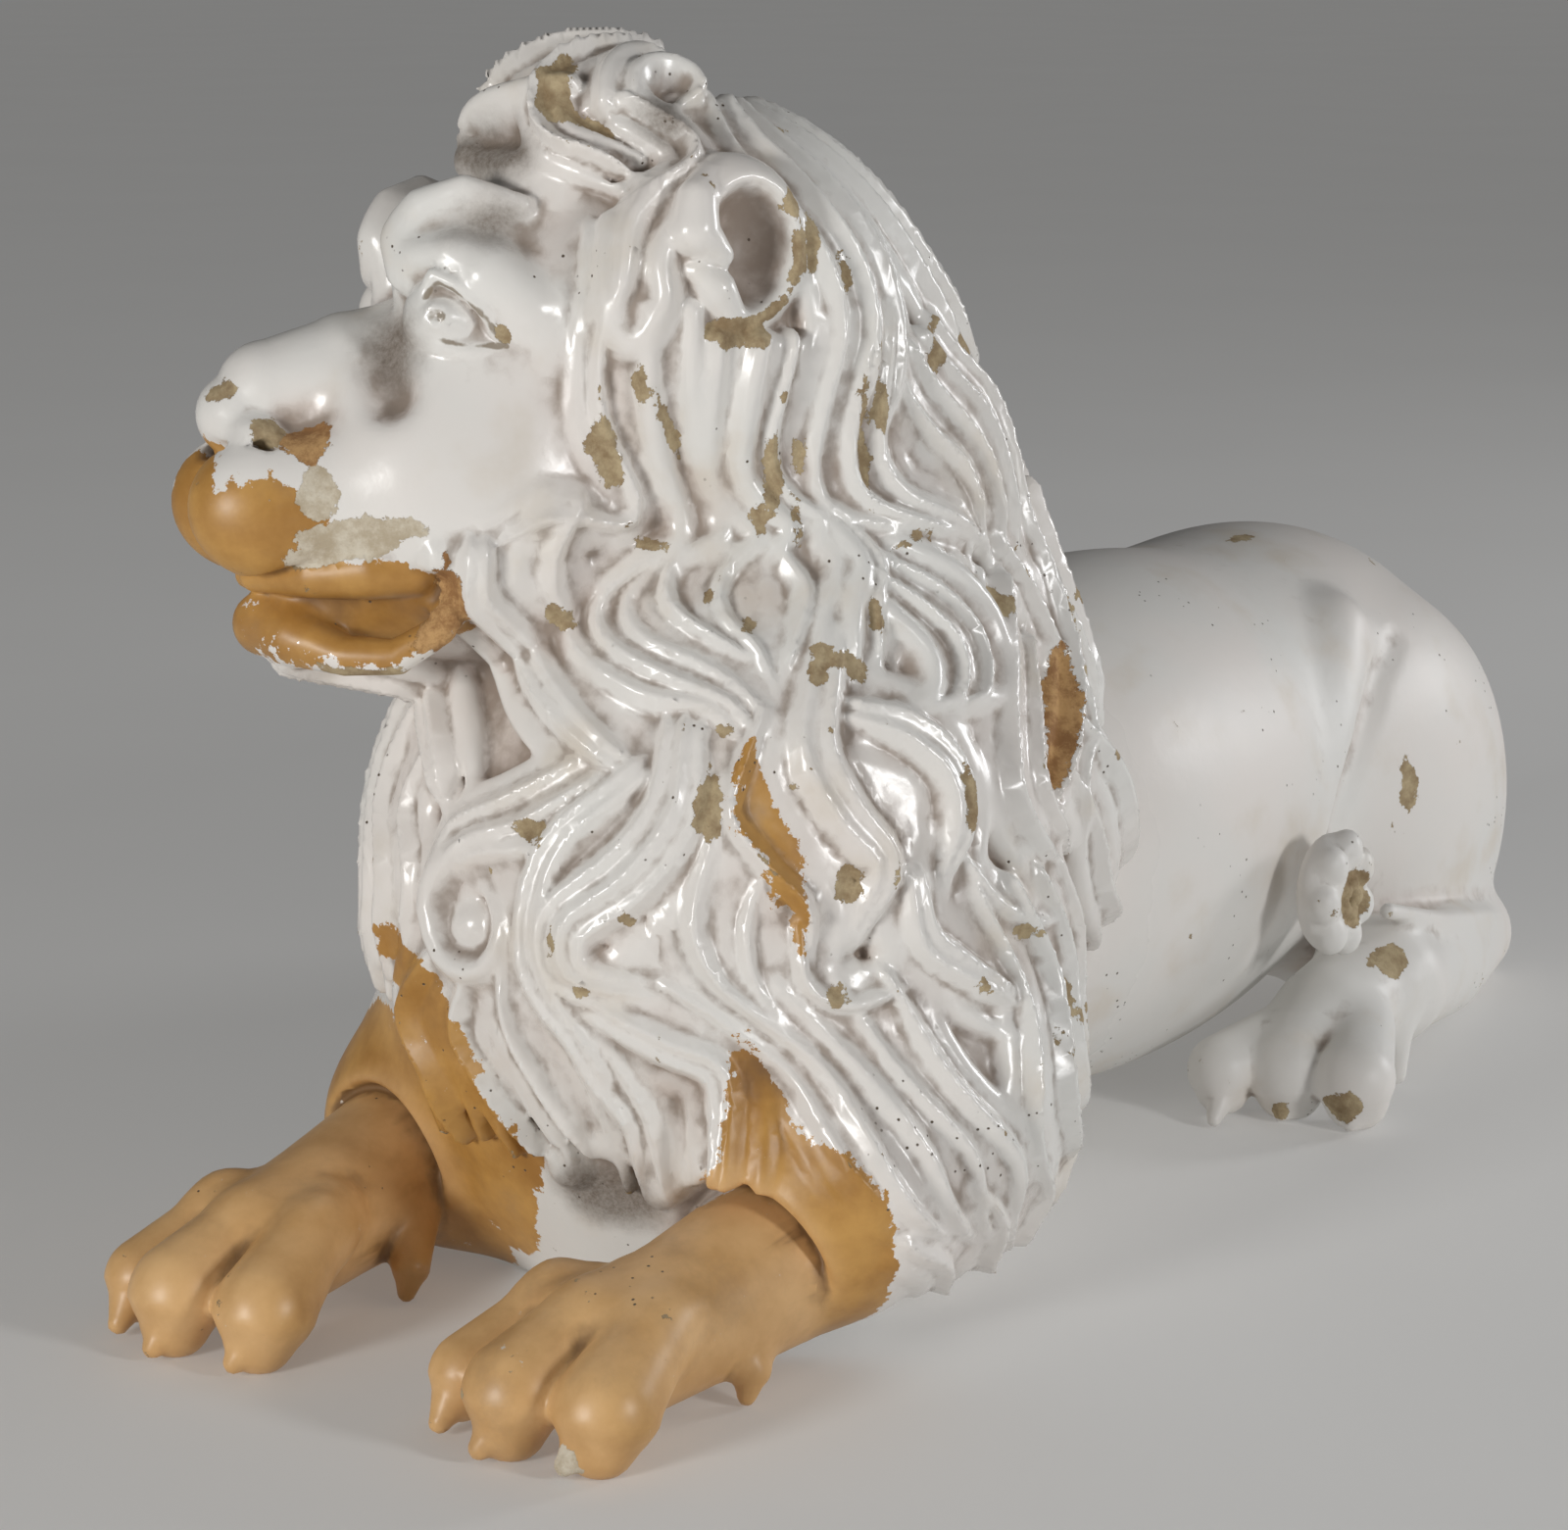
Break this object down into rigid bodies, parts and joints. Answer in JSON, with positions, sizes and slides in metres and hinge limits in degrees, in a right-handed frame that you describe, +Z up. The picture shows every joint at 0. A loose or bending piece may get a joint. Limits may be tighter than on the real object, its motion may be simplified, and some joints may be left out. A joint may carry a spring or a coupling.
{
  "type": "ceramic lion sculpture",
  "caption": "Glazed earthenware lion lying with its fore legs stretched out and its head turned to its right, white with ochre paws and muzzle, for a hall, gatepost or garden.",
  "frame": {"origin": "middle of the bounding box's bottom, on the plane the lion lies on", "axes": "+X from the head end to the rump along the body, -Y the lion's left side, +Z up; the head is turned towards +Y"},
  "size_m": [0.8386, 0.3546, 0.5088],
  "materials": {
    "glaze": "gloss"
  },
  "bodies": {
    "root": {"lion": "glaze"}
  },
  "joints": []
}
